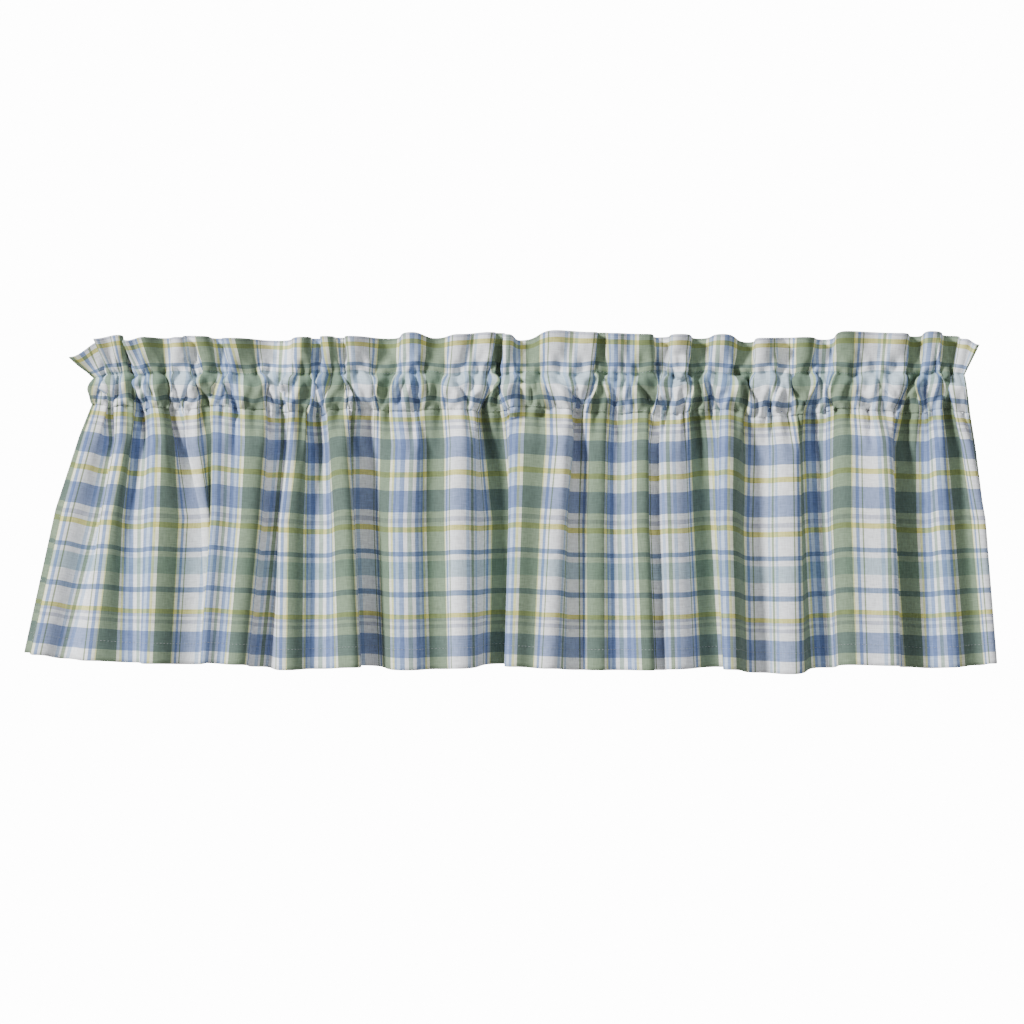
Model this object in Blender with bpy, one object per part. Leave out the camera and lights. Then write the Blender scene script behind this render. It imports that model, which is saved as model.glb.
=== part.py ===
# Window valance: one gathered panel of plaid cotton with a rod pocket and a ruffled header.
# It hangs in its own frame: +Z up, the front faces -Y, X runs along the rod, and the origin
# is at the top edge, in the middle of the width, above the axis of the rod pocket.

import math

import bmesh
import bpy
import numpy as np

MM = 0.001

# Heights in mm below the top edge
UPPER_STITCH = -43.0
LOWER_STITCH = -80.5
LIP = 2.0
GAP = 0.3
NOMINAL_HEM = -347.0

# Cloth in mm
CLOTH = 1.6
HEADING_LAYER = 1.3
POCKET_BULGE = 12.5

# How deep the folds stand, as a share of what the cloth's length allows, and the steepest
# angle of a fold's flank in radians: past a right angle the cloth laps over itself
FRILL_DEPTH = 0.85
FRILL_BEND = 1.8
STITCH_DEPTH = 0.12
STITCH_BEND = 1.1
LAPPED_BEND = 2.1

# The four heights of SKIRT_FOLDS, with the share of fold depth and the steepest angle there
SKIRT_LEVELS = {
    "stitch": (LOWER_STITCH, STITCH_DEPTH, STITCH_BEND),
    "upper": (-117.0, 0.62, 1.8),
    "middle": (-196.0, 0.85, LAPPED_BEND),
    "hem": (NOMINAL_HEM, 1.0, LAPPED_BEND),
}

FLANK_STEPS = 4
HEADING_STEPS = 3
SKIRT_ROWS = 10

CREST, VALLEY = -1, 1

# One row for each crest or valley of the skirt, from the left edge to the right one, in mm:
# flat is the place along the cloth, then come the places across at four heights,
# the height of the hem, and how far forward a crest stands at the hem
SKIRT_COLUMNS = ("turn", "flat", "stitch", "upper", "middle", "hem", "hem_z", "front")
SKIRT_FOLDS = [
    (VALLEY, 0, -439, -453, -478, -508, -334, 0),
    (CREST, 29, -434, -443, -464, -495, -336, 12),
    (VALLEY, 65, -418, -416, -431, -467, -340, 0),
    (CREST, 92, -409, -410, -425, -443, -342, 20),
    (VALLEY, 144, -384, -387, -393, -394, -344, 0),
    (CREST, 165, -376, -373, -375, -382, -345, 10),
    (VALLEY, 218, -350, -347, -339, -341, -346, 0),
    (CREST, 252, -335, -334, -323, -323, -344, 6),
    (VALLEY, 285, -313, -310, -313, -317, -344, 0),
    (CREST, 322, -301, -299, -305, -310, -344, 24),
    (CREST, 359, -270, -269, -274, -288, -346, 22),
    (VALLEY, 409, -240, -241, -248, -263, -349, 0),
    (CREST, 445, -226, -228, -237, -239, -352, 6),
    (VALLEY, 494, -206, -203, -202, -203, -351, 0),
    (CREST, 538, -181, -179, -173, -166, -349, 24),
    (VALLEY, 589, -161, -163, -163, -157, -348, 0),
    (CREST, 667, -112, -108, -111, -109, -352, 14),
    (VALLEY, 706, -82, -80, -80, -76, -351, 0),
    (CREST, 739, -60, -57, -58, -56, -350, 24),
    (VALLEY, 810, -21, -17, -9, -11, -346, 0),
    (CREST, 866, 11, 9, 7, 2, -348, 26),
    (CREST, 913, 53, 55, 46, 37, -350, 24),
    (VALLEY, 958, 73, 72, 69, 70, -352, 0),
    (CREST, 985, 92, 90, 88, 88, -352, 8),
    (VALLEY, 1017, 111, 110, 110, 113, -352, 0),
    (CREST, 1050, 137, 136, 136, 142, -352, 20),
    (VALLEY, 1084, 151, 148, 149, 155, -352, 0),
    (CREST, 1121, 171, 171, 174, 182, -351, 6),
    (VALLEY, 1171, 203, 207, 210, 219, -349, 0),
    (CREST, 1211, 225, 224, 223, 227, -351, 26),
    (VALLEY, 1256, 256, 256, 254, 257, -355, 0),
    (CREST, 1303, 284, 289, 290, 292, -356, 12),
    (VALLEY, 1358, 315, 315, 318, 326, -350, 0),
    (CREST, 1410, 349, 349, 348, 353, -346, 26),
    (CREST, 1455, 383, 388, 392, 396, -347, 28),
    (VALLEY, 1498, 412, 405, 405, 415, -349, 0),
    (VALLEY, 1525, 429, 429, 430, 436, -350, 0),
    (CREST, 1554, 446, 446, 451, 461, -349, 16),
    (VALLEY, 1580, 463, 465, 473, 486, -347, 0),
    (CREST, 1607, 472, 479, 491, 503, -345, 10),
    (VALLEY, 1630, 477, 484, 495, 507, -345, 0),
]

# One row for each crest or valley of the header, in mm: the place across at the top edge and
# at the upper stitch line, the height of the top edge, and how far forward a crest stands
HEADER_COLUMNS = ("turn", "flat", "top", "upper", "top_z", "front")
HEADER_FOLDS = [
    (CREST, 0, -462, -438, -26, 4),
    (VALLEY, 56, -435, -427, -7, 0),
    (CREST, 94, -416, -411, -3, 10),
    (VALLEY, 125, -405, -401, -13, 0),
    (CREST, 163, -386, -377, -5, 10),
    (VALLEY, 197, -364, -361, -6, 0),
    (CREST, 224, -347, -343, -5, 8),
    (VALLEY, 245, -340, -332, -3, 0),
    (CREST, 285, -322, -317, -4, 7),
    (VALLEY, 305, -309, -302, -6, 0),
    (CREST, 341, -295, -286, -6, 10),
    (VALLEY, 409, -242, -243, -8, 0),
    (CREST, 450, -218, -220, -5, 12),
    (VALLEY, 487, -203, -205, -12, 0),
    (CREST, 519, -195, -189, -4, 8),
    (VALLEY, 556, -177, -175, -5, 0),
    (CREST, 588, -169, -167, -4, 12),
    (VALLEY, 636, -128, -130, -6, 0),
    (CREST, 680, -104, -105, 0, 10),
    (VALLEY, 706, -80, -81, -6, 0),
    (CREST, 739, -54, -57, -2, 10),
    (CREST, 782, -24, -29, 0, 10),
    (VALLEY, 816, -13, -14, 0, 0),
    (CREST, 845, -4, -5, -2, 6),
    (VALLEY, 864, 9, 9, -8, 0),
    (CREST, 913, 46, 45, 2, 12),
    (CREST, 957, 84, 80, 0, 12),
    (VALLEY, 985, 92, 92, 0, 0),
    (CREST, 1007, 106, 106, -1, 12),
    (CREST, 1059, 144, 143, -2, 12),
    (VALLEY, 1073, 151, 153, -7, 0),
    (CREST, 1128, 179, 176, -2, 10),
    (VALLEY, 1159, 196, 192, -6, 0),
    (CREST, 1199, 221, 219, -2, 10),
    (VALLEY, 1234, 247, 245, -13, 0),
    (CREST, 1264, 261, 262, -5, 10),
    (VALLEY, 1307, 290, 290, -5, 0),
    (CREST, 1333, 307, 303, -5, 7),
    (VALLEY, 1368, 328, 325, -7, 0),
    (CREST, 1406, 349, 348, 1, 12),
    (CREST, 1475, 406, 403, -1, 12),
    (VALLEY, 1509, 423, 420, -4, 0),
    (CREST, 1533, 437, 435, 1, 10),
    (VALLEY, 1580, 462, 461, -3, 0),
    (CREST, 1609, 476, 470, -6, 8),
    (VALLEY, 1630, 487, 473, -13, 0),
]


def clear_scene():
    for old in list(bpy.data.objects):
        bpy.data.objects.remove(old)


def table(columns, rows):
    """The rows of a fold table as one array for each named column."""
    return {name: np.array([row[i] for row in rows], float) for i, name in enumerate(columns)}


def bend_for(share):
    """The steepest angle of a fold's flank that takes up the cloth, for a share of width to length."""
    bends = np.linspace(0.0, LAPPED_BEND, 200)
    steps = np.linspace(0.0, math.pi, 60)
    shares = [np.cos(bend * np.sin(steps)).mean() for bend in bends]
    return np.interp(share, shares[::-1], bends[::-1])


def plan_line(folds, across, depth_share, most_bend):
    """The cloth's line seen from above, 1 mm apart along the cloth: flat, across and depth.

    Each flank swings from one turn to the next with the angle of a river's meander,
    and two turns of one kind are joined by a panel that sways once out and back.
    """
    flat = folds["flat"]
    turns = folds["turn"]
    along = np.arange(0.0, flat[-1] + 0.5, 1.0)
    flank = np.clip(np.searchsorted(flat, along, side="right") - 1, 0, len(flat) - 2)
    share = (along - flat[flank]) / (flat[flank + 1] - flat[flank])
    bend = np.minimum(bend_for(np.diff(across) / np.diff(flat)), most_bend)[flank]
    panel = turns[flank] == turns[flank + 1]
    swing = np.where(panel, np.sin(2.0 * math.pi * share), np.sin(math.pi * share))
    angle = -turns[flank] * bend * swing
    x = np.concatenate([[0.0], np.cumsum(np.cos((angle[1:] + angle[:-1]) / 2.0))])
    y = np.concatenate([[0.0], np.cumsum(np.sin((angle[1:] + angle[:-1]) / 2.0))])
    reached = np.interp(flat, along, x)
    stretch = np.diff(across) / np.diff(reached)
    x = across[flank] + (x - reached[flank]) * stretch[flank]
    crests = turns == CREST
    y += np.interp(along, flat[crests], -folds["front"][crests] - np.interp(flat[crests], along, y))
    return along, x, y * depth_share


def eased(along, flat, values):
    """Values at the turns, eased from one turn to the next with a level run at each."""
    flank = np.clip(np.searchsorted(flat, along, side="right") - 1, 0, len(flat) - 2)
    share = (along - flat[flank]) / (flat[flank + 1] - flat[flank])
    ease = (1.0 - np.cos(math.pi * np.clip(share, 0.0, 1.0))) / 2.0
    return values[flank] + (values[flank + 1] - values[flank]) * ease


def skirt_line(folds, height):
    """The skirt's line from above at one height."""
    names = list(SKIRT_LEVELS)
    heights, depths, bends = (np.array(column) for column in zip(*SKIRT_LEVELS.values()))
    below = int(np.clip(np.searchsorted(-heights, -height), 1, len(names) - 1))
    step = (heights[below - 1] - height) / (heights[below - 1] - heights[below])
    across = folds[names[below - 1]] * (1.0 - step) + folds[names[below]] * step
    depth_share = np.interp(-height, -heights, depths)
    most_bend = np.interp(-height, -heights, bends)
    return plan_line(folds, across, depth_share, most_bend)


def stations(flat, steps):
    """Places along the cloth: each turn, and evenly spaced steps between two turns."""
    places = [np.linspace(a, b, steps, endpoint=False) for a, b in zip(flat[:-1], flat[1:])]
    return np.append(np.concatenate(places), flat[-1])


def pick(line, places):
    """A plan line at chosen places: across, depth, and its normal towards the front."""
    along, x, y = line
    here_x = np.interp(places, along, x)
    here_y = np.interp(places, along, y)
    run = np.interp(places + 2.0, along, x) - np.interp(places - 2.0, along, x)
    rise = np.interp(places + 2.0, along, y) - np.interp(places - 2.0, along, y)
    length = np.hypot(run, rise)
    return here_x, here_y, rise / length, -run / length


def ring(x, y, z):
    """One row of points along the cloth, in metres."""
    return np.stack([x, y, np.broadcast_to(z, x.shape)], axis=1) * MM


def solid_from_rows(name, outer_rows, inner_rows):
    """A closed solid swept along the cloth from closed sections, with an optional hollow."""
    mesh = bmesh.new()
    end_edges = []
    for rows in (outer_rows, inner_rows):
        grid = [[mesh.verts.new(point) for point in row] for row in rows]
        for row, below in zip(grid, grid[1:] + grid[:1]):
            for i in range(len(row) - 1):
                mesh.faces.new((row[i], below[i], below[i + 1], row[i + 1]))
        for end in (0, -1):
            for row, below in zip(grid, grid[1:] + grid[:1]):
                end_edges.append((end, mesh.edges.get((row[end], below[end]))))
    for end in (0, -1):
        edges = [edge for side, edge in end_edges if side == end]
        bmesh.ops.triangle_fill(mesh, use_beauty=True, edges=edges, normal=(1.0, 0.0, 0.0))
    bmesh.ops.recalc_face_normals(mesh, faces=mesh.faces)
    data = bpy.data.meshes.new(name)
    mesh.to_mesh(data)
    mesh.free()
    data.shade_smooth()
    piece = bpy.data.objects.new(name, data)
    bpy.context.scene.collection.objects.link(piece)
    return piece


def cloth_material(name, colour, roughness):
    material = bpy.data.materials.new(name)
    material.use_nodes = True
    shader = material.node_tree.nodes["Principled BSDF"]
    shader.inputs["Base Color"].default_value = (*colour, 1.0)
    shader.inputs["Roughness"].default_value = roughness
    shader.inputs["Metallic"].default_value = 0.0
    return material


def make_skirt(folds):
    """The hanging part: a single sheet in deep uneven folds, down to the hem."""
    places = stations(folds["flat"], FLANK_STEPS)
    hem = eased(places, folds["flat"], folds["hem_z"])
    top = LOWER_STITCH - LIP - GAP
    front, back = [], []
    for row in range(SKIRT_ROWS):
        down = row / (SKIRT_ROWS - 1)
        height = LOWER_STITCH + (NOMINAL_HEM - LOWER_STITCH) * down
        x, y, nx, ny = pick(skirt_line(folds, height), places)
        z = top + (hem - top) * down
        front.append(ring(x + nx * CLOTH / 2.0, y + ny * CLOTH / 2.0, z))
        back.append(ring(x - nx * CLOTH / 2.0, y - ny * CLOTH / 2.0, z))
    piece = solid_from_rows("skirt", front + back[::-1], [])
    piece.data.materials.append(cloth_material("plaid_cotton_skirt", (0.44, 0.48, 0.47), 0.85))
    return piece


def make_heading(header, skirt):
    """The header ruffle of doubled cloth, the open rod pocket below it, and its stitched lip."""
    places = stations(header["flat"], HEADING_STEPS)
    top = pick(plan_line(header, header["top"], FRILL_DEPTH, FRILL_BEND), places)
    upper = pick(plan_line(header, header["upper"], STITCH_DEPTH, STITCH_BEND), places)
    lower = pick(skirt_line(skirt, LOWER_STITCH), places)
    top_z = eased(places, header["flat"], header["top_z"])

    def face(a, b, step, z, bulge, side, layer):
        x, y, nx, ny = (p * (1.0 - step) + q * step for p, q in zip(a, b))
        length = np.hypot(nx, ny)
        return ring(x + side * layer * nx / length, y - side * bulge + side * layer * ny / length, z)

    def side_rows(side):
        rows = []
        for step in (0.0, 0.5, 1.0):
            z = top_z + (UPPER_STITCH - top_z) * step
            rows.append(face(top, upper, step, z, 0.0, side, HEADING_LAYER))
        for turn in (45.0, 90.0, 135.0, 180.0):
            rows.append(pocket_row(turn, side, HEADING_LAYER))
        rows.append(face(upper, lower, 1.0, LOWER_STITCH - LIP, 0.0, side, HEADING_LAYER))
        return rows

    def pocket_row(turn, side, layer):
        step = (1.0 - math.cos(math.radians(turn))) / 2.0
        bulge = POCKET_BULGE * math.sin(math.radians(turn))
        z = UPPER_STITCH + (LOWER_STITCH - UPPER_STITCH) * step
        return face(upper, lower, step, z, bulge, side, layer)

    outer = side_rows(1.0) + side_rows(-1.0)[::-1]
    inner = [pocket_row(turn, 1.0, 0.0) for turn in (0.0, 45.0, 90.0, 135.0, 180.0)]
    inner += [pocket_row(turn, -1.0, 0.0) for turn in (135.0, 90.0, 45.0)]
    piece = solid_from_rows("heading", outer, inner)
    piece.data.materials.append(cloth_material("plaid_cotton_heading", (0.46, 0.49, 0.48), 0.85))
    return piece


clear_scene()
skirt_folds = table(SKIRT_COLUMNS, SKIRT_FOLDS)
header_folds = table(HEADER_COLUMNS, HEADER_FOLDS)
make_skirt(skirt_folds)
make_heading(header_folds, skirt_folds)
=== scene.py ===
import math

import bpy
import numpy as np
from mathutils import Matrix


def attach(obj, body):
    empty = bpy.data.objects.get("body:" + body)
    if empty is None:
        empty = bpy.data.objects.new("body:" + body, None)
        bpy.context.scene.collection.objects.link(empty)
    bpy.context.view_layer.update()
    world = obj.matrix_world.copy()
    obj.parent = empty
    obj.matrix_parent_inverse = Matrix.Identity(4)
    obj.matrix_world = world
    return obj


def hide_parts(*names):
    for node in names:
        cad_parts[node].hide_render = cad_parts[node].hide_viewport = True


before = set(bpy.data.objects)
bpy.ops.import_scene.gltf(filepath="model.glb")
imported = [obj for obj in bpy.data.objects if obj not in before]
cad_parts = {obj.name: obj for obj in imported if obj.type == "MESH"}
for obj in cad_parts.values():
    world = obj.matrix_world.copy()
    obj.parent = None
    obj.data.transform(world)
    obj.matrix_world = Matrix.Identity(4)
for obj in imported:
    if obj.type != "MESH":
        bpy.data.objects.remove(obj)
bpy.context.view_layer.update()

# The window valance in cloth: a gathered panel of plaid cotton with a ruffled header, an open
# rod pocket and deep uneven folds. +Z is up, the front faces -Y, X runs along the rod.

mm = 0.001
crest, valley = -1, 1

# Places on the flat cloth in mm: flat runs across the panel, drop runs down from the top fold
panel = {
    "width": 1630.0,
    "upperStitch": 45.5,
    "lowerStitch": 90.5,
    "hem": 358.8,
    "thickness": 0.7,
    "layerGap": 0.75,
    "sideHem": 13.0,
    "hemColumns": 5,
    "hemEase": 6.0,
    "bottomHem": 24.0,
}

# The same places in the hung valance, heights in mm from the top edge
hung = {"upperStitch": -43.0, "lowerStitch": -81.5, "nominalHem": -347.0}


def columnsOf(names, rows):
    return {name: np.array([row[i] for row in rows], float) for i, name in enumerate(names)}


def bendFor(share):
    # the steepest angle of a flank that takes up the cloth, for a share of width to length
    steepest = 3.0
    bends = np.linspace(0.0, steepest, 200)
    steps = np.linspace(0.0, math.pi, 60)
    shares = [np.cos(bend * np.sin(steps)).mean() for bend in bends]
    return np.interp(share, shares[::-1], bends[::-1])


def planLine(folds, across, depthShare, mostBend):
    # the cloth seen from above, 1 mm apart: each flank swings from turn to turn like a river, and
    # a little to both sides between two crests or two valleys
    slack = 0.35
    flat = folds["flat"]
    turns = folds["turn"]
    along = np.arange(0.0, flat[-1] + 0.5, 1.0)
    flank = np.clip(np.searchsorted(flat, along, side="right") - 1, 0, len(flat) - 2)
    share = (along - flat[flank]) / (flat[flank + 1] - flat[flank])
    bend = np.minimum(bendFor(np.diff(across) / np.diff(flat)), mostBend)[flank]
    straight = turns[flank] == turns[flank + 1]
    swing = np.where(straight, slack * np.sin(2.0 * math.pi * share), np.sin(math.pi * share))
    angle = -turns[flank] * bend * swing
    x = np.concatenate([[0.0], np.cumsum(np.cos((angle[1:] + angle[:-1]) / 2.0))])
    y = np.concatenate([[0.0], np.cumsum(np.sin((angle[1:] + angle[:-1]) / 2.0))])
    x = x + np.interp(along, flat, across - np.interp(flat, along, x))
    crests = turns == crest
    wanted = -folds["front"][crests] - np.interp(flat[crests], along, y)
    y += np.interp(along, flat[crests], wanted)
    return along, x, y * depthShare


def pickPlaces(line, places):
    # across, depth and the normal towards the front
    along, x, y = line
    apart = 2.0
    run = np.interp(places + apart, along, x) - np.interp(places - apart, along, x)
    rise = np.interp(places + apart, along, y) - np.interp(places - apart, along, y)
    length = np.hypot(run, rise)
    return np.array([np.interp(places, along, x), np.interp(places, along, y),
                     rise / length, -run / length])


def eased(places, flat, values):
    flank = np.clip(np.searchsorted(flat, places, side="right") - 1, 0, len(flat) - 2)
    share = (places - flat[flank]) / (flat[flank + 1] - flat[flank])
    ease = (1.0 - np.cos(math.pi * np.clip(share, 0.0, 1.0))) / 2.0
    return values[flank] + (values[flank + 1] - values[flank]) * ease


def makeSheet(name, points, flatPlaces, drops):
    # a grid of points with the cloth's own places, in metres, as its UV map
    rows, columns = points.shape[:2]
    faces = []
    for row in range(rows - 1):
        first = row * columns
        for column in range(columns - 1):
            a = first + column
            faces.append((a, a + columns, a + columns + 1, a + 1))
    data = bpy.data.meshes.new(name)
    data.from_pydata((points.reshape(-1, 3) * mm).tolist(), [], faces)
    uvLayer = data.uv_layers.new(name="clothPlace")
    loops = np.zeros(len(data.loops), np.int32)
    data.loops.foreach_get("vertex_index", loops)
    spots = np.stack([np.broadcast_to(flatPlaces, (rows, columns)),
                      np.broadcast_to(drops, (rows, columns))], axis=2).reshape(-1, 2) * mm
    uvLayer.data.foreach_set("uv", spots[loops].astype(np.float32).ravel())
    data.shade_smooth()
    piece = bpy.data.objects.new(name, data)
    bpy.context.scene.collection.objects.link(piece)
    return piece


def thicken(piece):
    bpy.ops.object.select_all(action="DESELECT")
    bpy.context.view_layer.objects.active = piece
    piece.select_set(True)
    wall = piece.modifiers.new("clothThickness", "SOLIDIFY")
    wall.thickness = panel["thickness"] * mm
    wall.offset = 0.0
    bpy.ops.object.modifier_apply(modifier=wall.name)


def foldedColumns(step):
    # places across the cloth with both side hems turned to the back: place, how far behind
    count = int(panel["width"] / step)
    middle = np.linspace(0.0, panel["width"], count)
    turned = np.linspace(panel["sideHem"], 0.0, panel["hemColumns"] + 1)[:-1]
    places = np.concatenate([turned, middle, panel["width"] - turned[::-1]])
    hemmed = np.full(panel["hemColumns"], panel["layerGap"])
    behind = np.concatenate([hemmed, np.zeros(count), hemmed])
    runs = np.concatenate([-turned, middle, panel["width"] + turned[::-1]])
    return places, behind, runs


def nearSideHem(places):
    # 1 on the side hems and 0 just inside them
    inside = np.minimum(places, panel["width"] - places) - panel["sideHem"]
    return np.clip(1.0 - inside / panel["hemEase"], 0.0, 1.0)


# Sewing thread in mm, and its finish
thread = {
    "pitch": 4.0,
    "length": 2.9,
    "thick": 0.4,
    "lift": 0.45,
    "colour": (0.50, 0.54, 0.52),
    "plyScale": 1400.0,
    "plyShade": 0.7,
    "bump": 0.4,
    "bumpDepth": 0.0001,
    "roughness": 0.7,
}


def makeStitches(name, seams):
    # a short spindle of eight faces for each stitch, along lines of points and their outer sides
    corners = []
    for line, outward in seams:
        reach = np.concatenate([[0.0], np.cumsum(np.linalg.norm(np.diff(line, axis=0), axis=1))])
        starts = np.arange(thread["pitch"] / 2.0, reach[-1] - thread["length"], thread["pitch"])

        def at(where, values):
            return np.stack([np.interp(where, reach, values[:, i]) for i in range(3)], axis=1)

        first, last = at(starts, line), at(starts + thread["length"], line)
        out = at(starts + thread["length"] / 2.0, outward) * thread["thick"] / 2.0
        side = np.cross(last - first, out)
        side *= thread["thick"] / 2.0 / np.linalg.norm(side, axis=1)[:, None]
        middle = (first + last) / 2.0 + out
        around = [middle + side, middle + out, middle - side, middle - out]
        corners.append(np.stack([first, last] + around, axis=1))
    corners = np.concatenate(corners)
    faces = []
    for start in range(0, 6 * len(corners), 6):
        for i in range(4):
            a, b = start + 2 + i, start + 2 + (i + 1) % 4
            faces += [(start, a, b), (start + 1, b, a)]
    data = bpy.data.meshes.new(name)
    data.from_pydata((corners.reshape(-1, 3) * mm).tolist(), [], faces)
    piece = bpy.data.objects.new(name, data)
    bpy.context.scene.collection.objects.link(piece)
    bpy.ops.object.select_all(action="DESELECT")
    bpy.context.view_layer.objects.active = piece
    piece.select_set(True)
    bpy.ops.object.mode_set(mode="EDIT")
    bpy.ops.mesh.select_all(action="SELECT")
    bpy.ops.mesh.normals_make_consistent(inside=False)
    bpy.ops.object.mode_set(mode="OBJECT")
    bpy.ops.object.shade_smooth()
    return piece


# Fine gathers by the stitches: length along the cloth, share, start and lean of each wave, how
# high they are and how far they reach away from the stitches; puffs make the pocket uneven and
# sway moves the upper stitches up and down
gathers = {
    "upperWaves": ((25.0, 0.65, 0.3, 0.35), (15.0, 0.35, 1.9, -0.4), (43.0, 0.4, 4.1, 0.6)),
    "lowerWaves": ((22.0, 0.65, 2.2, -0.35), (13.5, 0.35, 0.4, 0.4), (37.0, 0.4, 1.1, -0.5)),
    "puffs": ((61.0, 0.6, 0.5, 0.6), (38.0, 0.4, 2.0, -0.5)),
    "sway": ((97.0, 0.6, 1.2, 0.0), (53.0, 0.4, 0.2, 0.0)),
    "sag": ((47.0, 0.6, 0.9, 0.0), (27.0, 0.4, 2.3, 0.0)),
    "pointed": 0.95,
    "height": 3.3,
    "puff": 0.3,
    "sagHeight": 1.6,
    "swayHeight": 1.8,
    "fadeDown": 24.0,
    "fadeUp": 20.0,
}


def gatherAt(places, waves, away=0.0):
    # away is how far above or below the stitches, so that the gathers lean
    total = 0.0
    for length, part, phase, lean in gathers[waves]:
        turn = 2.0 * math.pi * (places + lean * away) / length + phase
        total = total + part * np.arcsin(gathers["pointed"] * np.sin(turn))
    return total


# The main creases of the heading as seen from the front, in mm. How deep is a share of "deep",
# and a low ridge runs on either side. "most" is the furthest that the cloth is pushed.
creaseShape = {
    "deep": 1.8,
    "wide": 0.85,
    "flank": 1.5,
    "endShare": 0.4,
    "ridge": 0.3,
    "ridgeAway": 2.2,
    "most": 11.0,
    "lipEdge": 2.6,
}
creases = [  # fromX, fromZ, toX, toZ, deep, wide
    (-414, -41, -412, -70, 4, 3.0),
    (-399, -43, -390, -83, 6, 3.5),
    (-384, -41, -389, -68, 4, 3.0),
    (-379, -55, -371, -73, 5, 3.0),
    (-364, -41, -362, -72, 6, 4.0),
    (-358, -47, -346, -76, 4, 3.0),
    (-337, -47, -344, -76, 3, 2.5),
    (-339, -30, -326, -57, 4, 3.0),
    (-326, -57, -313, -81, 6, 3.5),
    (-306, -43, -312, -72, 4, 3.0),
    (-310, -37, -298, -47, 4, 2.5),
    (-300, -49, -293, -72, 6, 4.0),
    (-293, -72, -286, -87, 5, 3.5),
    (-257, -41, -259, -62, 3, 2.5),
    (-259, -62, -248, -76, 4, 3.0),
    (-244, -43, -244, -57, 3, 2.5),
    (-221, -41, -230, -66, 5, 3.5),
    (-239, -72, -246, -83, 4, 3.0),
    (-218, -34, -218, -68, 6, 4.0),
    (-205, -43, -199, -57, 5, 3.0),
    (-200, -57, -203, -74, 4, 3.0),
    (-187, -39, -193, -70, 5, 3.0),
    (-176, -37, -167, -62, 5, 3.0),
    (-167, -62, -157, -87, 6, 3.0),
    (-107, -41, -120, -74, 5, 3.0),
    (-102, -34, -101, -68, 5, 3.0),
    (-92, -45, -90, -68, 4, 3.0),
    (-59, -49, -48, -72, 5, 3.0),
    (-32, -62, -42, -73, 4, 3.0),
    (-22, -30, -28, -47, 4, 3.0),
    (-28, -47, -30, -78, 5, 3.0),
    (-14, -18, -16, -51, 6, 4.0),
    (-10, -49, -8, -72, 5, 3.0),
    (-8, -72, 0, -88, 4, 3.0),
    (4, -50, 20, -53, 4, 2.5),
    (20, -53, 20, -78, 4, 2.5),
    (47, -47, 69, -76, 6, 3.5),
    (84, -49, 74, -76, 6, 3.5),
    (96, -45, 105, -53, 4, 3.0),
    (119, -45, 115, -62, 4, 3.0),
    (113, -68, 121, -76, 3, 3.0),
    (134, -53, 145, -74, 5, 3.0),
    (151, -20, 153, -49, 5, 3.0),
    (168, -43, 167, -66, 4, 3.0),
    (167, -66, 161, -87, 4, 3.0),
    (168, -45, 177, -50, 4, 2.0),
    (177, -50, 184, -41, 4, 2.0),
    (193, -47, 197, -72, 5, 3.5),
    (210, -57, 206, -85, 5, 3.0),
    (231, -39, 247, -50, 5, 3.0),
    (247, -50, 257, -72, 6, 3.0),
    (257, -72, 254, -87, 4, 3.0),
    (275, -43, 277, -55, 3, 2.5),
    (267, -68, 267, -78, 4, 3.5),
    (274, -74, 286, -85, 4, 2.5),
    (291, -43, 297, -62, 4, 3.0),
    (297, -62, 306, -83, 5, 3.0),
    (284, -66, 280, -83, 4, 3.0),
    (319, -43, 323, -57, 4, 2.5),
    (325, -83, 336, -72, 4, 3.0),
    (336, -74, 343, -85, 4, 3.0),
    (345, -39, 337, -70, 5, 3.5),
    (385, -45, 383, -60, 3, 2.5),
    (387, -55, 396, -70, 4, 2.5),
    (364, -72, 371, -83, 3, 2.5),
    (378, -72, 372, -83, 3, 2.5),
    (427, -43, 409, -62, 5, 3.5),
    (409, -62, 398, -83, 5, 3.0),
    (433, -45, 432, -78, 6, 3.5),
    (456, -32, 464, -55, 3, 2.5),
]

# Tucks that start at the lower stitches and fade downwards, in the same columns; the ones of
# less than no depth stand forward
tucks = [
    (-387, -72, -383, -135, 5, 4.0),
    (-356, -74, -349, -160, 5, 5.0),
    (-291, -74, -289, -135, 4, 4.5),
    (-242, -76, -240, -145, 5, 5.0),
    (-203, -79, -205, -160, 6, 5.5),
    (-153, -79, -149, -135, 4, 4.5),
    (-101, -72, -105, -125, 4, 4.0),
    (-33, -74, -21, -150, 6, 5.0),
    (68, -70, 64, -190, 7, 7.0),
    (105, -72, 111, -125, 4, 4.0),
    (160, -74, 157, -135, 4, 4.0),
    (193, -74, 197, -160, 5, 5.0),
    (270, -76, 272, -135, 4, 4.5),
    (314, -74, 322, -160, 5, 5.0),
    (372, -72, 377, -125, 4, 4.0),
    (411, -74, 414, -150, 5, 5.0),
    (456, -72, 458, -125, 4, 4.0),
    (-409, -72, -409, -140, -3, 4.5),
    (-373, -72, -373, -130, -3, 4.5),
    (-229, -72, -229, -140, -3, 4.5),
    (-172, -66, -157, -135, -4, 4.5),
    (-10, -70, -1, -130, -3, 4.5),
    (225, -72, 224, -135, -3, 4.5),
    (300, -72, 302, -135, -3, 4.5),
    (430, -72, 432, -130, -3, 4.5),
]

# Folds that hang over like a tongue with a round lower end, in mm
lips = [  # middleX, bottomZ, halfWidth, height, forward
    (451, -50, 8.0, 46, 11),
    (-2, -89, 8.5, 44, 10),
    (26, -85, 10.5, 36, 8),
    (176, -50, 8.0, 26, 9),
    (194, -88, 10.0, 40, 9),
    (-344, -79, 5.0, 16, 4),
    (277, -83, 6.0, 18, 4),
]


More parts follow.
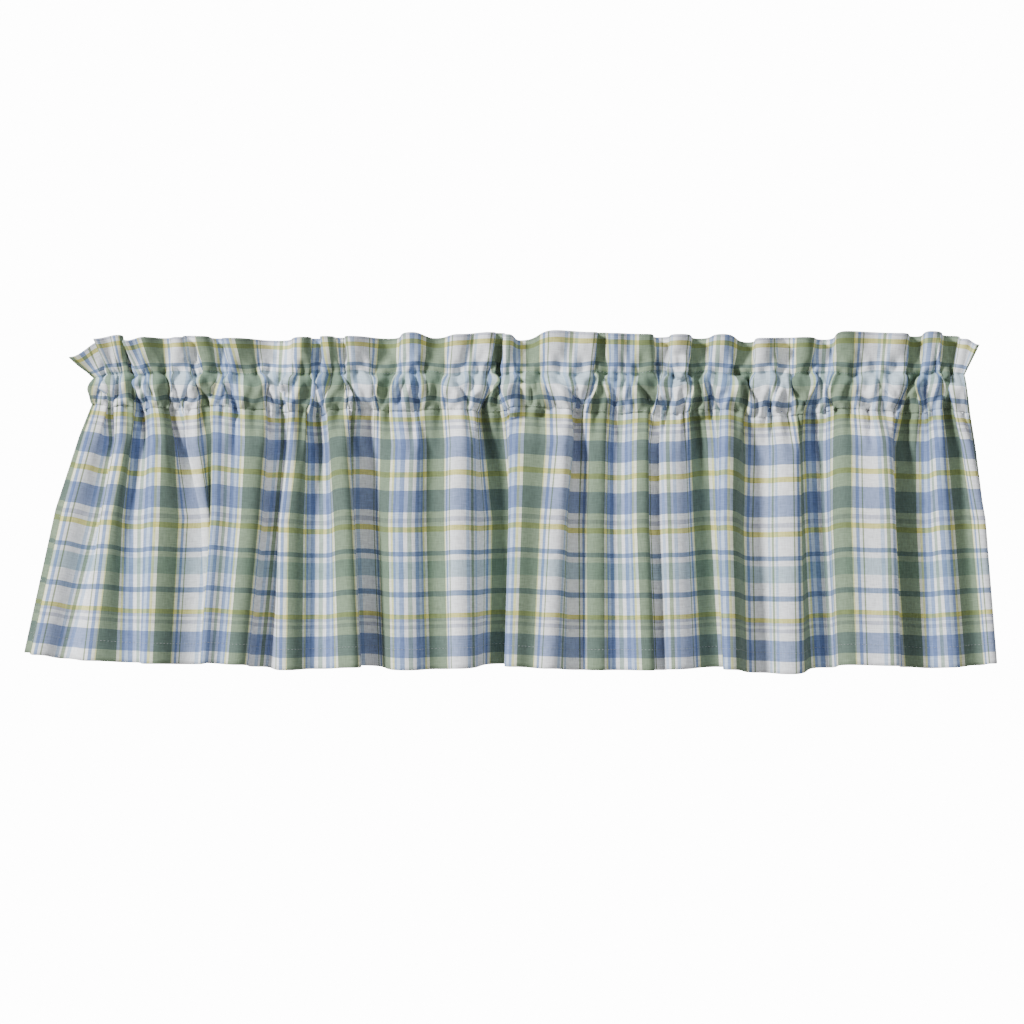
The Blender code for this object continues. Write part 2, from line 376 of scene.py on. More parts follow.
def creasePush(x, z, lipShare=1.0):
    # how far the creases press the cloth back at each place, and the lips pull it forward
    push = np.zeros(np.broadcast(x, z).shape)
    for row in creases + tucks:
        fromX, fromZ, toX, toZ, deep, wide = row
        runX, runZ = toX - fromX, toZ - fromZ
        share = ((x - fromX) * runX + (z - fromZ) * runZ) / (runX ** 2 + runZ ** 2)
        share = np.clip(share, 0.0, 1.0)
        off = np.hypot(x - fromX - runX * share, z - fromZ - runZ * share)
        off = off / (wide * creaseShape["wide"])
        if row in tucks:
            along = np.cos(math.pi * share / 2.0)
        else:
            along = creaseShape["endShare"] + (1.0 - creaseShape["endShare"]) * np.sin(math.pi * share)
        trough = np.exp(-off ** creaseShape["flank"])
        ridge = creaseShape["ridge"] * np.exp(-(off - creaseShape["ridgeAway"]) ** 2)
        push += deep * creaseShape["deep"] * along * (trough - ridge)
    for middleX, bottomZ, halfWidth, height, forward in lips:
        below = np.minimum(z - (bottomZ + halfWidth), 0.0)
        inside = (halfWidth - np.hypot(x - middleX, below)) / creaseShape["lipEdge"]
        inside = np.clip(inside, 0.0, 1.0)
        rise = np.clip((bottomZ + height - z) / height, 0.0, 1.0)
        push -= lipShare * forward * inside ** 2 * (3.0 - 2.0 * inside) * np.sqrt(rise)
    return np.clip(push, -creaseShape["most"], creaseShape["most"])


# The skirt's folds from left to right: where a crest or valley lies on the flat cloth, where it
# stands at five heights, how high its hem is and how far forward a crest comes
skirtColumns = ("turn", "flat", "stitch", "upper", "middle", "hem", "stitchZ", "hemZ", "front")
skirtFolds = [
    (valley, 0, -439, -453, -478, -511, -75, -334, 0),
    (crest, 29, -434, -443, -464, -497, -75, -336, 10),
    (valley, 65, -418, -416, -431, -467, -79, -340, 0),
    (crest, 92, -409, -410, -425, -443, -76, -342, 14),
    (valley, 144, -384, -387, -393, -394, -82, -344, 0),
    (crest, 165, -376, -373, -375, -382, -78, -345, 20),
    (valley, 230, -346, -334, -319, -329, -81, -346, 0),
    (crest, 249, -340, -340, -323, -314, -80, -344, 12),
    (valley, 285, -316, -309, -309, -311, -76, -344, 0),
    (crest, 305, -311, -311, -312, -324, -76, -344, 24),
    (crest, 359, -270, -269, -274, -288, -80, -346, 22),
    (valley, 409, -240, -241, -248, -263, -83, -349, 0),
    (crest, 445, -226, -228, -237, -239, -82, -352, 8),
    (valley, 494, -206, -203, -202, -203, -87, -351, 0),
    (crest, 538, -181, -179, -173, -166, -80, -349, 24),
    (valley, 589, -161, -163, -163, -157, -80, -348, 0),
    (crest, 667, -112, -108, -111, -109, -82, -352, 14),
    (valley, 706, -82, -80, -80, -76, -80, -351, 0),
    (crest, 739, -60, -57, -58, -56, -80, -350, 24),
    (valley, 810, -21, -17, -9, -11, -83, -346, 0),
    (crest, 866, 11, 9, 7, 2, -77, -348, 26),
    (crest, 913, 53, 55, 46, 37, -79, -350, 24),
    (valley, 958, 73, 72, 69, 70, -83, -352, 0),
    (crest, 985, 92, 90, 88, 88, -83, -352, 8),
    (valley, 1017, 111, 110, 110, 113, -85, -352, 0),
    (crest, 1050, 137, 136, 136, 142, -83, -352, 20),
    (valley, 1084, 151, 148, 149, 155, -86, -352, 0),
    (crest, 1104, 161, 160, 162, 166, -85, -351, 16),
    (valley, 1171, 203, 207, 210, 219, -80, -349, 0),
    (crest, 1211, 225, 224, 223, 227, -80, -351, 26),
    (valley, 1256, 256, 256, 254, 257, -88, -355, 0),
    (crest, 1303, 284, 289, 290, 292, -87, -356, 14),
    (valley, 1358, 315, 315, 318, 326, -84, -350, 0),
    (crest, 1410, 349, 349, 348, 353, -79, -346, 26),
    (crest, 1455, 383, 388, 392, 396, -81, -347, 28),
    (valley, 1498, 412, 405, 405, 415, -84, -349, 0),
    (valley, 1525, 429, 429, 430, 436, -84, -350, 0),
    (crest, 1554, 443, 446, 451, 461, -80, -349, 16),
    (valley, 1580, 458, 463, 473, 486, -79, -347, 0),
    (crest, 1607, 468, 477, 491, 503, -83, -345, 10),
    (valley, 1630, 479, 485, 495, 507, -84, -345, 0),
]

# Height, share of the full fold depth, and the steepest angle of a flank in radians
skirtLevels = {
    "stitch": (-81.5, 0.22, 1.3),
    "upper": (-117.0, 0.75, 1.9),
    "middle": (-196.0, 0.85, 2.7),
    "hem": (-347.0, 1.0, 2.9),
}
skirt = columnsOf(skirtColumns, skirtFolds)


def skirtLine(height):
    names = list(skirtLevels)
    heights, depths, bends = (np.array(column) for column in zip(*skirtLevels.values()))
    below = int(np.clip(np.searchsorted(-heights, -height), 1, len(names) - 1))
    step = (heights[below - 1] - height) / (heights[below - 1] - heights[below])
    across = skirt[names[below - 1]] * (1.0 - step) + skirt[names[below]] * step
    depth = np.interp(-height, -heights, depths)
    return planLine(skirt, across, depth, np.interp(-height, -heights, bends))


# The mesh of the skirt: mm between columns, rows of the front, how steep a column may hang, and
# how far up behind each row of the turned hem stands
skirtMesh = {
    "columnStep": 2.8,
    "rows": 66,
    "leastFall": 0.4,
    "turned": (-0.35, 1.5, 6.0, 11.0, 16.0, 21.0, panel["bottomHem"]),
    "sideSeam": 2.0,
}


def makeSkirt():
    places, behind, runs = foldedColumns(skirtMesh["columnStep"])
    drops = np.linspace(panel["lowerStitch"], panel["hem"], skirtMesh["rows"])
    reach = hung["nominalHem"] - hung["lowerStitch"]
    length = panel["hem"] - panel["lowerStitch"]
    lines = []
    for drop in drops:
        share = (drop - panel["lowerStitch"]) / length
        lines.append(pickPlaces(skirtLine(hung["lowerStitch"] + reach * share), places))
    x, y, nx, ny = (np.array([line[i] for line in lines]) for i in range(4))
    # each column of cloth keeps its length, so crests hang a little higher than valleys
    step = drops[1] - drops[0]
    fall = step ** 2 - np.diff(x, axis=0) ** 2 - np.diff(y, axis=0) ** 2
    fall = np.sqrt(np.maximum(fall, (skirtMesh["leastFall"] * step) ** 2))
    z = -np.concatenate([np.zeros((1, len(places))), np.cumsum(fall, axis=0)])
    hemZ = eased(places, skirt["flat"], skirt["hemZ"])
    stitchZ = eased(places, skirt["flat"], skirt["stitchZ"])
    z = stitchZ + z * (hemZ - stitchZ) / z[-1]
    fade = np.exp(-((drops - panel["lowerStitch"]) / gathers["fadeDown"]) ** 1.2)[:, None]
    push = gathers["height"] * fade * gatherAt(places, "lowerWaves")
    x = x + nx * push
    y = y + ny * push
    y = y + creasePush(x, z)
    # the bottom hem goes round the fold and up behind
    nearSide = nearSideHem(places)
    layers = [np.zeros_like(places)] * len(drops)
    allDrops = list(drops)
    for up in skirtMesh["turned"]:
        row = np.interp(panel["hem"] - max(up, 0.0), drops, np.arange(len(drops)))
        low = int(min(row, len(drops) - 2))
        mix = row - low
        x, y, nx, ny, z = (np.vstack([grid, grid[low] * (1.0 - mix) + grid[low + 1] * mix])
                           for grid in (x, y, nx, ny, z))
        z[-1] += min(up, 0.0)
        layers.append((0.5 if up < 0.0 else 1.0) * panel["layerGap"] * (1.0 + nearSide))
        allDrops.append(panel["hem"] + max(up, 0.0))
    back = behind + np.array(layers)
    points = np.stack([x - nx * back, y - ny * back, z], axis=2)
    piece = makeSheet("skirtCloth", points, runs, np.array(allDrops)[:, None])
    thicken(piece)
    # the bottom hem's stitches on the front and the back, then both side hems' on the front
    facing = np.stack([nx, ny, np.zeros_like(nx)], axis=2)
    seams = []
    hems = panel["hemColumns"]
    row = len(allDrops) - 2
    for side in (1.0, -1.0):
        line = np.stack([x[row], y[row], z[row]], axis=1) if side > 0.0 else points[row]
        out = facing[row] * side
        seams.append(((line + out * thread["lift"])[hems:-hems], out[hems:-hems]))
    seam = panel["sideHem"] - skirtMesh["sideSeam"]
    for place in (seam, panel["width"] - seam):
        column = hems + int(round(place / panel["width"] * (len(places) - 2 * hems - 1)))
        line = points[:len(drops), column]
        out = facing[:len(drops), column]
        seams.append((line + out * thread["lift"], out))
    return piece, makeStitches("skirtStitches", seams)


# The header's folds: where they stand at the top edge and at the upper stitches
headerColumns = ("turn", "flat", "top", "upper", "topZ", "front")
headerFolds = [
    (valley, 0, -451, -431, -24, 0),
    (crest, 18, -462, -438, -26, 8),
    (valley, 46, -426, -422, -8, 0),
    (crest, 62, -436, -419, -7, 14),
    (crest, 99, -411, -406, -3, 12),
    (valley, 125, -402, -399, -8, 0),
    (crest, 150, -404, -387, -9, 12),
    (crest, 176, -384, -374, -5, 11),
    (valley, 197, -364, -361, -6, 0),
    (crest, 224, -347, -343, -5, 8),
    (valley, 245, -340, -332, -3, 0),
    (crest, 285, -322, -317, -4, 7),
    (valley, 305, -309, -302, -6, 0),
    (crest, 341, -295, -286, -6, 10),
    (valley, 409, -242, -243, -8, 0),
    (crest, 450, -218, -220, -5, 12),
    (valley, 487, -203, -205, -6, 0),
    (crest, 519, -195, -189, -4, 8),
    (valley, 556, -177, -175, -5, 0),
    (crest, 588, -169, -167, -4, 12),
    (valley, 636, -128, -130, -6, 0),
    (crest, 680, -104, -105, 0, 10),
    (valley, 706, -80, -81, -6, 0),
    (crest, 739, -54, -57, -2, 10),
    (crest, 782, -24, -29, 0, 10),
    (valley, 816, -13, -14, 0, 0),
    (crest, 845, -4, -5, -2, 6),
    (valley, 864, 9, 9, -8, 0),
    (crest, 913, 46, 45, 2, 12),
    (crest, 957, 84, 80, 0, 12),
    (valley, 985, 92, 92, 0, 0),
    (crest, 1007, 106, 106, -1, 12),
    (crest, 1059, 144, 143, -2, 12),
    (valley, 1073, 151, 153, -5, 0),
    (crest, 1128, 179, 176, -2, 10),
    (valley, 1159, 196, 192, -6, 0),
    (crest, 1199, 221, 219, -2, 10),
    (valley, 1234, 247, 245, -10, 0),
    (crest, 1264, 261, 262, -6, 12),
    (valley, 1307, 290, 290, -5, 0),
    (crest, 1333, 307, 303, -5, 7),
    (valley, 1368, 328, 325, -7, 0),
    (crest, 1406, 349, 348, 1, 12),
    (crest, 1475, 406, 403, -1, 12),
    (valley, 1509, 423, 420, -4, 0),
    (crest, 1533, 437, 433, 1, 10),
    (valley, 1580, 462, 456, -3, 0),
    (crest, 1609, 474, 466, -7, 8),
    (crest, 1630, 487, 473, -13, 10),
]

header = columnsOf(headerColumns, headerFolds)

# How deep and steep the header's folds are, and the pocket in mm: how far it bulges, how much
# flatter it is at its lower end, and how its two ends hang
headerShape = {"depth": 1.2, "bend": 1.8, "stitchDepth": 0.22, "stitchBend": 1.2, "lean": 5.0}
pocket = {
    "frontBulge": 12.0,
    "backBulge": 9.0,
    "flatter": 0.8,
    "fullest": 0.85,
    "rounded": 0.25,
    "backCreases": 0.8,
    "straightEnd": 30.0,
    "leftDrop": 8.0,
    "calmer": 0.85,
}
headingMesh = {"columnStep": 2.5, "pocketRows": 18, "backRows": 10, "frontRows": 21, "foldRise": 0.35}


def makeHeading():
    places, behind, runs = foldedColumns(headingMesh["columnStep"])
    shape = headerShape
    top = planLine(header, header["top"], shape["depth"], shape["bend"])
    top = pickPlaces(top, places)
    top[1] -= shape["lean"]  # the header flares forward
    upper = planLine(header, header["upper"], shape["stitchDepth"], shape["stitchBend"])
    upper = pickPlaces(upper, places)
    lower = pickPlaces(skirtLine(hung["lowerStitch"]), places)
    topZ = eased(places, header["flat"], header["topZ"])
    upperZ = hung["upperStitch"] + gathers["swayHeight"] * gatherAt(places, "sway")
    upperZ = upperZ - pocket["leftDrop"] * np.exp(-(places / pocket["straightEnd"]) ** 2)
    lowerZ = eased(places, skirt["flat"], skirt["stitchZ"])
    nearSide = nearSideHem(places)
    fromRight = (panel["width"] - places) / pocket["straightEnd"]
    straight = np.exp(-fromRight ** 2)
    calm = 1.0 - pocket["calmer"] * np.exp(-(fromRight / 2.0) ** 2)
    rows = []
    drops = []
    facing = []

    def addRow(a, b, share, z, side, drop, ripple, bulge=0.0, creased=1.0, lipShare=1.0):
        x, y, nx, ny = a * (1.0 - share) + b * share
        length = np.hypot(nx, ny)
        nx, ny = nx / length, ny / length
        away = ripple * calm + side * (panel["layerGap"] * (0.5 + nearSide) - behind)
        push = creased * creasePush(x, z, lipShare)
        # by the right edge the pocket bulges to the front and back only
        x = x + nx * (away + bulge * (1.0 - straight))
        y = y + ny * (away + bulge * (1.0 - straight)) - bulge * straight + push
        rows.append(np.stack([x, y, np.broadcast_to(z, x.shape)], axis=1))
        facing.append(np.stack([nx, ny, np.zeros_like(x)], axis=1))
        drops.append(drop)

    def headerRows(side, steps):
        for share in steps:
            drop = panel["upperStitch"] * share
            above = panel["upperStitch"] - drop
            ripple = gathers["height"] * gatherAt(places, "upperWaves", -above)
            ripple = ripple * math.exp(-(above / gathers["fadeUp"]) ** 1.5)
            z = topZ + (upperZ - topZ) * share
            addRow(top, upper, share, z, side, side * drop, ripple, lipShare=1.0 if side > 0.0 else 0.0)

    def pocketRows(side, bulge, steps):
        length = panel["lowerStitch"] - panel["upperStitch"]
        for part in steps:
            turn = math.pi * part
            rounded = (1.0 - math.cos(turn)) / 2.0
            share = part + pocket["rounded"] * (rounded - part)
            z = upperZ + (lowerZ - upperZ) * share
            z = z + gathers["sagHeight"] * math.sin(turn) * gatherAt(places, "sag") * calm
            down = length * part
            ripple = gatherAt(places, "upperWaves", down) * (1.0 - part)
            ripple = gathers["height"] * (ripple + gatherAt(places, "lowerWaves", down - length) * part)
            full = math.sin(math.pi * part ** pocket["fullest"]) * (1.0 - pocket["flatter"] * part)
            drop = side * (panel["upperStitch"] + down)
            if side > 0.0:
                full = full * (1.0 + gathers["puff"] * gatherAt(places, "puffs", down) * calm)
                addRow(upper, lower, share, z, side, drop, ripple, bulge * full)
            else:
                creased = 1.0 - pocket["backCreases"] * math.sin(turn)
                addRow(upper, lower, share, z, side, drop, ripple, -bulge * full, creased, part ** 4)

    pocketSteps = np.linspace(0.0, 1.0, headingMesh["pocketRows"] + 1)
    pocketRows(-1.0, pocket["backBulge"], pocketSteps[::-1])
    headerRows(-1.0, np.linspace(1.0, 0.0, headingMesh["backRows"] + 1)[1:])
    addRow(top, upper, 0.0, topZ + headingMesh["foldRise"], 0.0, 0.0, 0.0)
    headerRows(1.0, np.linspace(0.0, 1.0, headingMesh["frontRows"]))
    pocketRows(1.0, pocket["frontBulge"], pocketSteps[1:])
    piece = makeSheet("headingCloth", np.array(rows), runs, np.array(drops)[:, None])
    thicken(piece)
    # both rows of stitches on the front, a row of the mesh above each seam, then on the back
    upperFront = headingMesh["pocketRows"] + headingMesh["backRows"] + headingMesh["frontRows"]
    lowerFront = upperFront + headingMesh["pocketRows"]
    hems = panel["hemColumns"]
    seams = []
    for row, side in ((upperFront, 1.0), (lowerFront, 1.0), (headingMesh["pocketRows"], -1.0), (1, -1.0)):
        out = facing[row][hems:-hems] * side
        seams.append((rows[row][hems:-hems] + out * thread["lift"], out))
    return piece, makeStitches("headingStitches", seams)


# The plaid, in mm across the cloth. The warp mirrors at both ends of half a repeat, the weft
# runs on. Each colour is how much of the white cotton's light the stripe lets through.
plaid = {
    "white": (0.84, 0.855, 0.88),
    "warpHalf": 87.15,
    "warpStart": 147.8,
    "weftRepeat": 205.0,
    "weftStart": 156.9,
    "threads": 0.55,
    "cover": 0.25,
}

# The yarn and the cotton's finish: slubs per metre along and across a thread, how uneven the wash
# is, how far the weave shows and how rough it is
yarn = {
    "slub": 0.6,
    "slubAlong": 90.0,
    "slubAcross": 800.0,
    "slubHeight": 0.5,
    "fade": 0.2,
    "fadeScale": 9.0,
    "weaveTone": 0.05,
    "weaveRoof": 0.6,
    "roughness": 0.85,
    "bump": 0.5,
    "bumpDepth": 0.0002,
    "sheen": 0.1,
    "sheenRoughness": 0.6,
    "shine": 0.25,
}
dyes = {
    "white": (1.0, 1.0, 1.0),
    "green": (0.225, 0.295, 0.19),
    "darkGreen": (0.34, 0.40, 0.27),
    "olive": (0.36, 0.44, 0.30),
    "paleGreen": (0.42, 0.52, 0.44),
    "blue": (0.29, 0.39, 0.61),
    "paleBlue": (0.56, 0.67, 0.83),
    "yellow": (0.76, 0.76, 0.36),
    "cream": (0.94, 0.94, 0.74),
    "weftBlue": (0.30, 0.37, 0.56),
    "weftThin": (0.28, 0.36, 0.52),
    "weftPale": (0.50, 0.61, 0.67),
    "weftGrey": (0.62, 0.63, 0.71),
    "weftYellow": (0.76, 0.71, 0.25),
}
warpStripes = [
    (0.0, "paleGreen"), (2.1, "white"), (6.3, "blue"), (11.5, "paleBlue"), (15.2, "blue"),
    (18.3, "yellow"), (20.9, "cream"), (24.4, "green"), (47.4, "yellow"), (49.0, "cream"),
    (52.3, "blue"), (56.0, "white"), (58.9, "darkGreen"), (60.9, "white"), (78.4, "paleBlue"),
    (82.6, "white"), (85.0, "olive"),
]
weftStripes = [
    (0.0, "weftYellow"), (3.1, "white"), (16.7, "weftBlue"), (38.7, "white"), (45.0, "weftGrey"),
    (49.7, "white"), (54.4, "weftYellow"), (59.6, "white"), (79.5, "weftThin"), (84.7, "white"),
    (90.0, "weftPale"), (107.7, "white"), (121.3, "weftThin"), (126.6, "white"),
    (144.3, "weftYellow"), (149.6, "weftGrey"), (152.7, "white"), (155.9, "weftGrey"),
    (160.0, "white"), (167.4, "weftBlue"), (189.3, "white"), (201.9, "weftYellow"),
]


def addNode(tree, kind, **settings):
    node = tree.nodes.new(kind)
    for key, value in settings.items():
        setattr(node, key, value)
    return node


def mathNode(tree, operation, first, second=None, third=None):
    node = addNode(tree, "ShaderNodeMath", operation=operation)
    for socket, value in zip(node.inputs, (first, second, third)):
        if value is None:
            continue
        if isinstance(value, (int, float)):
            socket.default_value = value
        else:
            tree.links.new(value, socket)
    return node.outputs[0]


def stripeRamp(tree, place, stripes, length):
    ramp = addNode(tree, "ShaderNodeValToRGB")
    ramp.color_ramp.interpolation = "CONSTANT"
    stops = ramp.color_ramp.elements
    while len(stops) > 1:
        stops.remove(stops[-1])
    for i, (start, dye) in enumerate(stripes):
        stop = stops[0] if i == 0 else stops.new(start / length)
        stop.position = start / length
        stop.color = (*dyes[dye], 1.0)
    tree.links.new(place, ramp.inputs["Fac"])
    return ramp.outputs["Color"]


def mixColours(tree, blend, amount, first, second):
    node = addNode(tree, "ShaderNodeMix", data_type="RGBA", blend_type=blend)
    for name, value in (("Factor", amount), ("A", first), ("B", second)):
        sockets = [s for s in node.inputs if s.name == name and s.enabled]
        if isinstance(value, (int, float)):
            sockets[0].default_value = value
        elif isinstance(value, tuple):
            sockets[0].default_value = value
        else:
            tree.links.new(value, sockets[0])
    return [s for s in node.outputs if s.enabled][0]


def makePlaidGroup():
    tree = bpy.data.node_groups.new("plaidWeave", "ShaderNodeTree")
    tree.interface.new_socket("Cloth Place", in_out="INPUT", socket_type="NodeSocketVector")
    for name, value in (("Thread Width", plaid["threads"] * mm), ("Slub", yarn["slub"]),
                        ("Fade", yarn["fade"])):
        socket = tree.interface.new_socket(name, in_out="INPUT", socket_type="NodeSocketFloat")
        socket.default_value = value
    tree.interface.new_socket("Colour", in_out="OUTPUT", socket_type="NodeSocketColor")
    tree.interface.new_socket("Weave Height", in_out="OUTPUT", socket_type="NodeSocketFloat")
    tree.interface.new_socket("Roughness", in_out="OUTPUT", socket_type="NodeSocketFloat")
    given = addNode(tree, "NodeGroupInput")
    made = addNode(tree, "NodeGroupOutput")
    split = addNode(tree, "ShaderNodeSeparateXYZ")
    tree.links.new(given.outputs["Cloth Place"], split.inputs[0])
    across, down = split.outputs[0], split.outputs[1]
    warpPlace = mathNode(tree, "MULTIPLY_ADD", across, 1.0 / (plaid["warpHalf"] * mm),
                         -plaid["warpStart"] / plaid["warpHalf"])
    warpPlace = mathNode(tree, "PINGPONG", warpPlace, 1.0)
    weftPlace = mathNode(tree, "MULTIPLY_ADD", down, 1.0 / (plaid["weftRepeat"] * mm),
                         -plaid["weftStart"] / plaid["weftRepeat"])
    weftPlace = mathNode(tree, "FRACT", mathNode(tree, "ADD", weftPlace, 8.0))
    warp = stripeRamp(tree, warpPlace, warpStripes, plaid["warpHalf"])
    weft = stripeRamp(tree, weftPlace, weftStripes, plaid["weftRepeat"])
    # slubs: threads of both ways that run a little thick or thin
    tones = []
    for stretch in ((yarn["slubAcross"], yarn["slubAlong"], 1.0),
                    (yarn["slubAlong"], yarn["slubAcross"], 1.0)):
        scale = addNode(tree, "ShaderNodeVectorMath", operation="MULTIPLY")
        scale.inputs[1].default_value = stretch
        tree.links.new(given.outputs["Cloth Place"], scale.inputs[0])
        noise = addNode(tree, "ShaderNodeTexNoise")
        noise.inputs["Scale"].default_value = 1.0
        noise.inputs["Detail"].default_value = 2.0
        tree.links.new(scale.outputs[0], noise.inputs["Vector"])
        tones.append(mathNode(tree, "SUBTRACT", noise.outputs["Fac"], 0.5))
    slub = mathNode(tree, "ADD", tones[0], tones[1])
    wash = addNode(tree, "ShaderNodeTexNoise")
    wash.inputs["Scale"].default_value = yarn["fadeScale"]
    wash.inputs["Detail"].default_value = 2.0
    tree.links.new(given.outputs["Cloth Place"], wash.inputs["Vector"])
    washed = mathNode(tree, "MULTIPLY", mathNode(tree, "SUBTRACT", wash.outputs["Fac"], 0.5),
                      given.outputs["Fade"])
    light = mathNode(tree, "MULTIPLY_ADD", slub, given.outputs["Slub"], 1.0)
    light = mathNode(tree, "ADD", light, washed)
    # plain weave: over and under in both directions
    waves = []
    for way in (across, down):
        turn = mathNode(tree, "DIVIDE", way, given.outputs["Thread Width"])
        waves.append(mathNode(tree, "SINE", mathNode(tree, "MULTIPLY", turn, math.pi)))
    weave = mathNode(tree, "MULTIPLY", waves[0], waves[1])
    height = mathNode(tree, "MULTIPLY_ADD", mathNode(tree, "ABSOLUTE", weave), yarn["weaveRoof"], 0.2)
    height = mathNode(tree, "MULTIPLY_ADD", slub, yarn["slubHeight"], height)
    toneOfWeave = mathNode(tree, "MULTIPLY_ADD", weave, yarn["weaveTone"], 1.0)
    light = mathNode(tree, "MULTIPLY", light, toneOfWeave)
    crossed = mixColours(tree, "MULTIPLY", 1.0, warp, weft)
    darker = mixColours(tree, "DARKEN", 1.0, warp, weft)
    cloth = mixColours(tree, "MIX", plaid["cover"], crossed, darker)
    cloth = mixColours(tree, "MULTIPLY", 1.0, cloth, (*plaid["white"], 1.0))
    toned = addNode(tree, "ShaderNodeVectorMath", operation="SCALE")
    tree.links.new(cloth, toned.inputs[0])
    tree.links.new(light, toned.inputs["Scale"])
    tree.links.new(toned.outputs[0], made.inputs["Colour"])
    tree.links.new(height, made.inputs["Weave Height"])
    rough = mathNode(tree, "MULTIPLY_ADD", weave, yarn["weaveTone"], yarn["roughness"])
    tree.links.new(rough, made.inputs["Roughness"])
    return tree


def makeCotton(name, group):
    material = bpy.data.materials.new(name)
    material.use_nodes = True
    tree = material.node_tree
    shader = tree.nodes["Principled BSDF"]
    place = addNode(tree, "ShaderNodeUVMap", uv_map="clothPlace")
    weave = addNode(tree, "ShaderNodeGroup")
    weave.node_tree = group
    bump = addNode(tree, "ShaderNodeBump")
    bump.inputs["Strength"].default_value = yarn["bump"]
    bump.inputs["Distance"].default_value = yarn["bumpDepth"]
    tree.links.new(place.outputs[0], weave.inputs["Cloth Place"])
    tree.links.new(weave.outputs["Colour"], shader.inputs["Base Color"])
    tree.links.new(weave.outputs["Roughness"], shader.inputs["Roughness"])
    tree.links.new(weave.outputs["Weave Height"], bump.inputs["Height"])
    tree.links.new(bump.outputs[0], shader.inputs["Normal"])
    shader.inputs["Sheen Weight"].default_value = yarn["sheen"]
    shader.inputs["Sheen Roughness"].default_value = yarn["sheenRoughness"]
    shader.inputs["Specular IOR Level"].default_value = yarn["shine"]
    return material


def makeThread():
    # twisted cotton: pale, with darker turns of the ply
    material = bpy.data.materials.new("sewingThread")
    material.use_nodes = True
    tree = material.node_tree
    shader = tree.nodes["Principled BSDF"]
    place = addNode(tree, "ShaderNodeTexCoord")
    ply = addNode(tree, "ShaderNodeTexNoise")
    ply.inputs["Scale"].default_value = thread["plyScale"]
    ply.inputs["Detail"].default_value = 2.0
    tree.links.new(place.outputs["Object"], ply.inputs["Vector"])
    colour = (*thread["colour"], 1.0)
    shade = tuple(part * thread["plyShade"] for part in thread["colour"]) + (1.0,)
    cotton = mixColours(tree, "MIX", ply.outputs["Fac"], colour, shade)
    tree.links.new(cotton, shader.inputs["Base Color"])
    bump = addNode(tree, "ShaderNodeBump")
    bump.inputs["Strength"].default_value = thread["bump"]
    bump.inputs["Distance"].default_value = thread["bumpDepth"]
    tree.links.new(ply.outputs["Fac"], bump.inputs["Height"])
    tree.links.new(bump.outputs[0], shader.inputs["Normal"])
    shader.inputs["Roughness"].default_value = thread["roughness"]
    return material


# The camera looks level at the middle of the valance, as the photograph does
camera = {"away": 6.0, "height": -0.1872, "frameWidth": 1.071, "sensor": 36.0}
lights = {
    "key": {"place": (-5.8, -4.6, 3.5), "size": 1.35, "power": 1370.0},
    "fill": {"place": (1.6, -4.6, 0.3), "size": 2.5, "power": 30.0},
    "top": {"place": (0.2, -0.8, 2.6), "size": 2.0, "power": 30.0},
    "back": {"place": (1.5, 3.5, 1.2), "size": 1.6, "power": 260.0},
}
studio = {
    "shown": 14.0,
    "soft": 0.33,
    "softTint": (0.97, 0.985, 1.0, 1.0),
    "floorHeight": -1.05,
    "floorRadius": 3.5,
    "floorTone": (0.85, 0.85, 0.85, 1.0),
    "floorRoughness": 0.9,
    "aim": (0.0, 0.0, -0.18),
}


def makeCamera():
    data = bpy.data.cameras.new("viewCamera")
    data.sensor_width = camera["sensor"]
    data.lens = camera["sensor"] * camera["away"] / camera["frameWidth"]
    eye = bpy.data.objects.new("viewCamera", data)
    eye.location = (0.0, -camera["away"], camera["height"])
    eye.rotation_euler = (math.pi / 2.0, 0.0, 0.0)
    bpy.context.scene.collection.objects.link(eye)
    bpy.context.scene.camera = eye


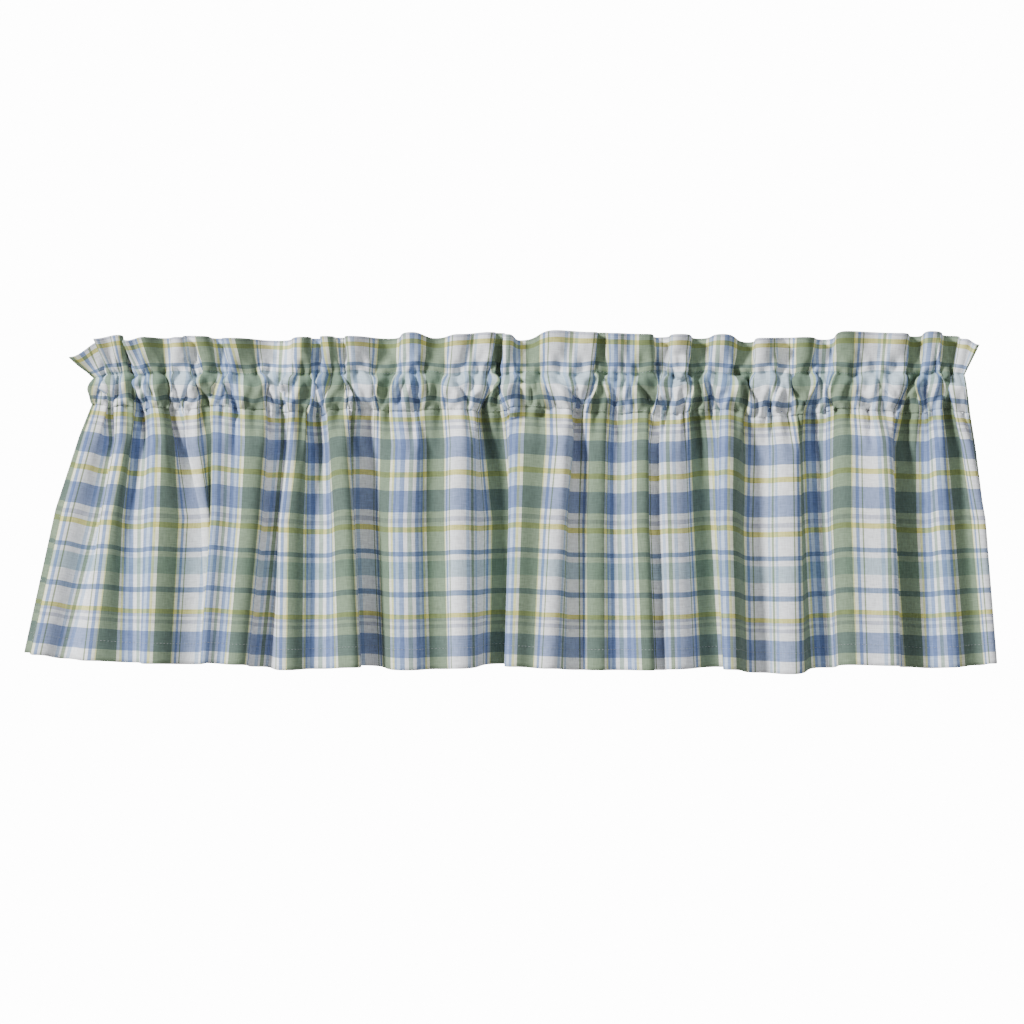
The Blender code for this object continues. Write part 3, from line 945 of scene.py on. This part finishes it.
def makeStudio():
    for name, values in lights.items():
        data = bpy.data.lights.new(name + "Light", "AREA")
        data.size = values["size"]
        data.energy = values["power"]
        lamp = bpy.data.objects.new(name + "Light", data)
        lamp.location = values["place"]
        towards = [goal - at for goal, at in zip(studio["aim"], values["place"])]
        flatWay = math.hypot(towards[0], towards[1])
        lamp.rotation_euler = (math.pi / 2.0 + math.atan2(towards[2], flatWay), 0.0,
                               math.atan2(towards[1], towards[0]) - math.pi / 2.0)
        bpy.context.scene.collection.objects.link(lamp)
    world = bpy.data.worlds.new("paleStudio")
    bpy.context.scene.world = world
    world.use_nodes = True
    tree = world.node_tree
    tree.nodes.clear()
    seen = addNode(tree, "ShaderNodeBackground")
    seen.inputs["Strength"].default_value = studio["shown"]
    seen.inputs["Color"].default_value = (1.0, 1.0, 1.0, 1.0)
    soft = addNode(tree, "ShaderNodeBackground")
    soft.inputs["Strength"].default_value = studio["soft"]
    soft.inputs["Color"].default_value = studio["softTint"]
    path = addNode(tree, "ShaderNodeLightPath")
    mix = addNode(tree, "ShaderNodeMixShader")
    out = addNode(tree, "ShaderNodeOutputWorld")
    tree.links.new(path.outputs["Is Camera Ray"], mix.inputs[0])
    tree.links.new(soft.outputs[0], mix.inputs[1])
    tree.links.new(seen.outputs[0], mix.inputs[2])
    tree.links.new(mix.outputs[0], out.inputs[0])
    bpy.ops.mesh.primitive_circle_add(vertices=96, radius=studio["floorRadius"], fill_type="NGON",
                                      location=(0.0, 0.0, studio["floorHeight"]))
    floor = bpy.context.active_object
    floor.name = "paleFloor"
    paint = bpy.data.materials.new("palePaint")
    paint.use_nodes = True
    shader = paint.node_tree.nodes["Principled BSDF"]
    shader.inputs["Base Color"].default_value = studio["floorTone"]
    shader.inputs["Roughness"].default_value = studio["floorRoughness"]
    floor.data.materials.append(paint)
    floor.visible_diffuse = False  # so that the cloth isn't lit up from below


plaidGroup = makePlaidGroup()
print("plaid ready")

sewing = makeThread()
skirtCloth, skirtStitches = makeSkirt()
skirtCloth.data.materials.append(makeCotton("skirtCotton", plaidGroup))
skirtStitches.data.materials.append(sewing)
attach(skirtCloth, "root")
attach(skirtStitches, "root")
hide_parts("skirt")
print("skirt hung")

headingCloth, headingStitches = makeHeading()
headingCloth.data.materials.append(makeCotton("headingCotton", plaidGroup))
headingStitches.data.materials.append(sewing)
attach(headingCloth, "root")
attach(headingStitches, "root")
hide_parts("heading")
print("heading gathered")

makeCamera()
makeStudio()
print("studio ready")
